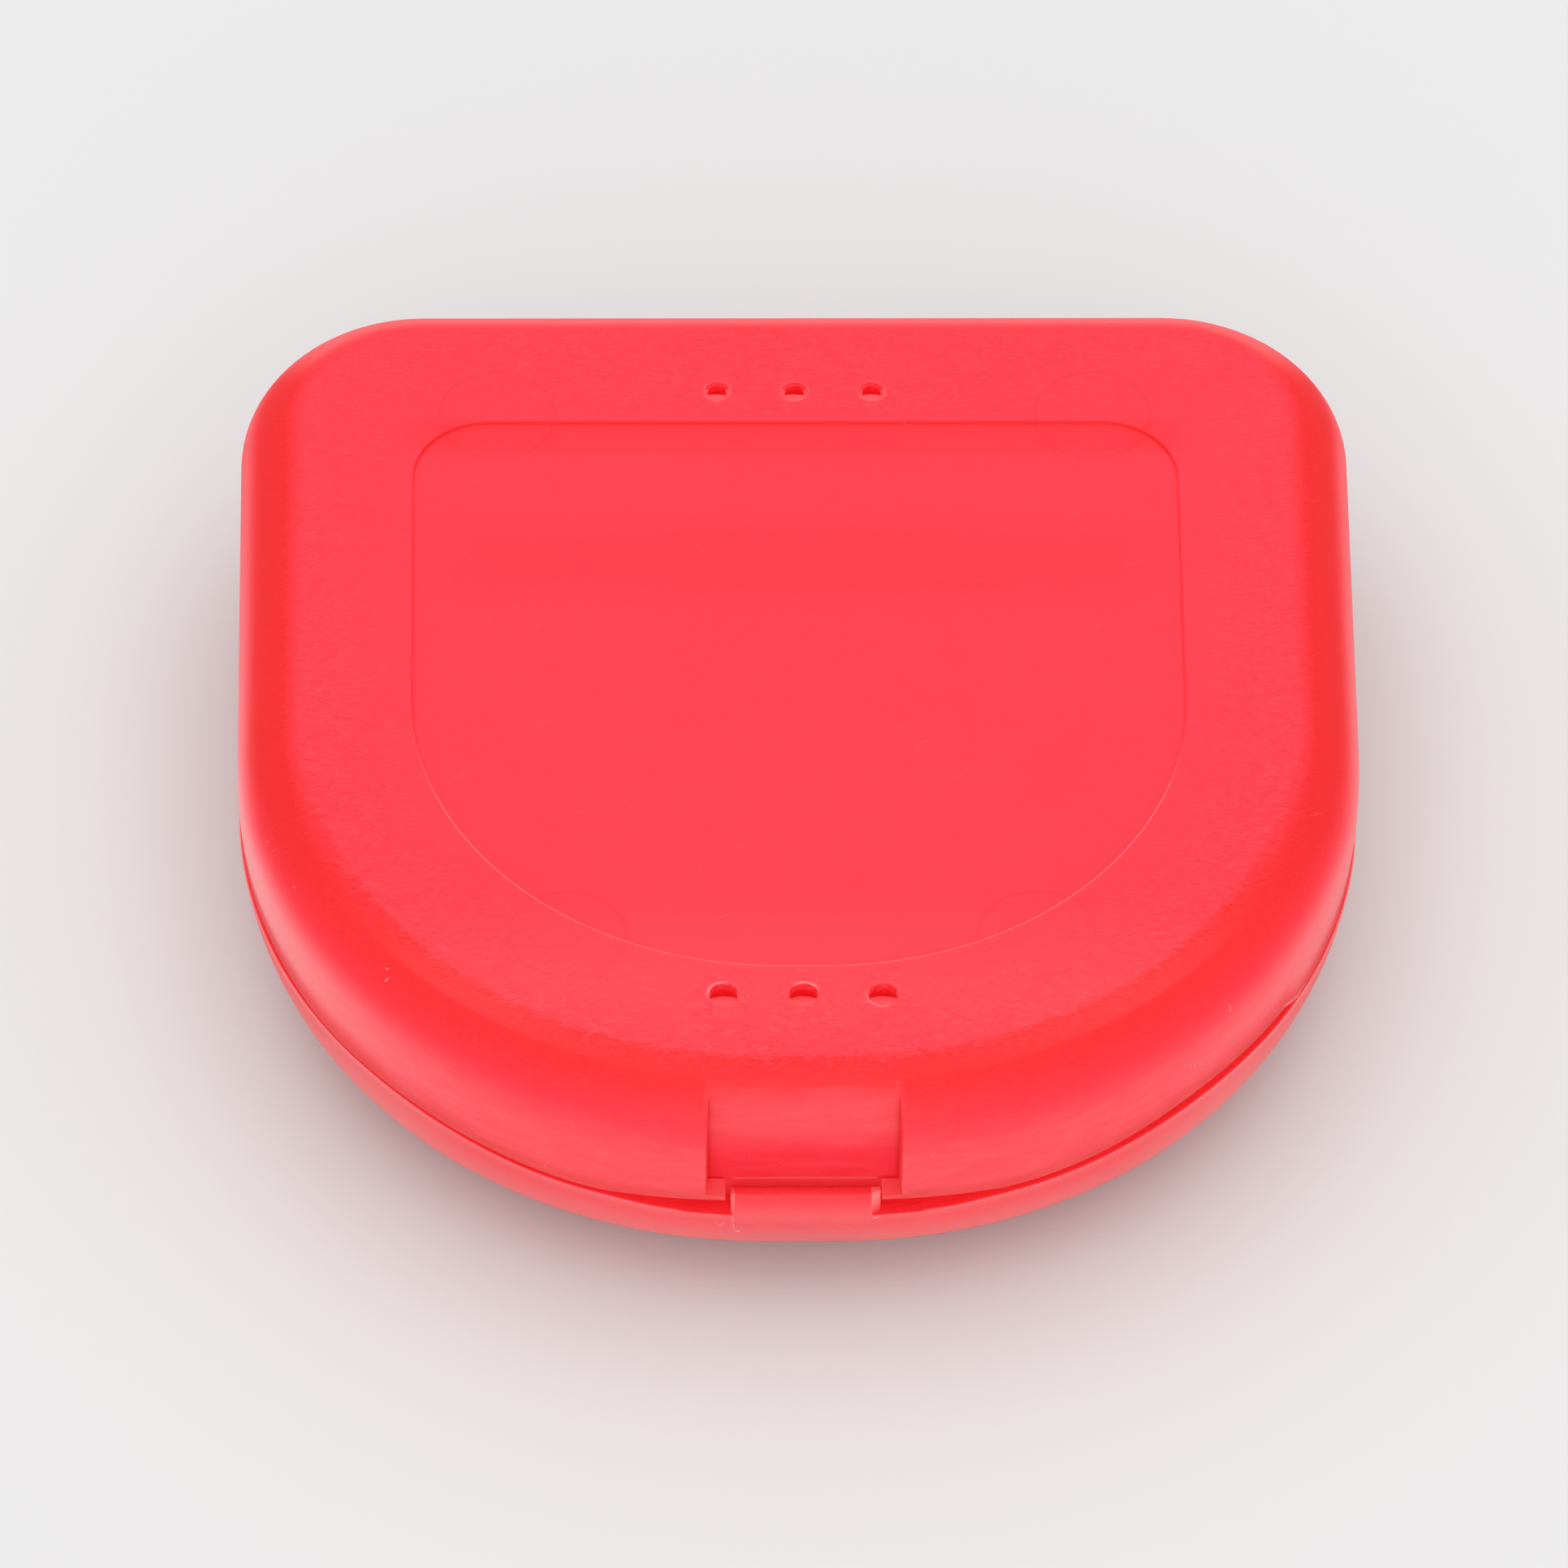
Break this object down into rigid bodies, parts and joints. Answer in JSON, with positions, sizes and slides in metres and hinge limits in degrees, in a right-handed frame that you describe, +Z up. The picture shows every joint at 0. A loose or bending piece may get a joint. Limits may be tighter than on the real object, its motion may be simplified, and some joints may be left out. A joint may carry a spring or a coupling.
{
  "type": "dental appliance box",
  "caption": "Flat D-shaped hinged box for a dental retainer, with a sunk label panel, vent holes, a thumb recess and a press-in snap latch at the front.",
  "frame": {"origin": "middle of the base's flat underside, on the table that the closed box lies on; the middle is that of the case's plan without the hinge", "axes": "+X to the right of the box seen from its latch, +Y from the latch to the hinge, +Z up out of the lid's top"},
  "size_m": [0.08, 0.085, 0.0207],
  "materials": {
    "base_plastic": "frosted translucent red polypropylene",
    "lid_plastic": "frosted translucent red polypropylene",
    "pin_plastic": "smooth red polypropylene"
  },
  "bodies": {
    "base": {"base_shell": "base_plastic", "hinge_pin_left": "pin_plastic", "hinge_pin_right": "pin_plastic"},
    "lid": {"lid_shell": "lid_plastic"},
    "latch": {"latch_tongue": "lid_plastic"}
  },
  "joints": [
    {"name": "lid_hinge", "type": "hinge", "parent": "base", "child": "lid", "pos_m": [0, 0.0427, 0.0104], "axis": [-1, 0, 0], "range_deg": [0, 180]},
    {"name": "latch_press", "type": "hinge", "parent": "lid", "child": "latch", "pos_m": [0, -0.03715, 0.018], "axis": [1, 0, 0], "range_deg": [0, 6.5], "stiffness_Nm_per_rad": 0.1}
  ]
}
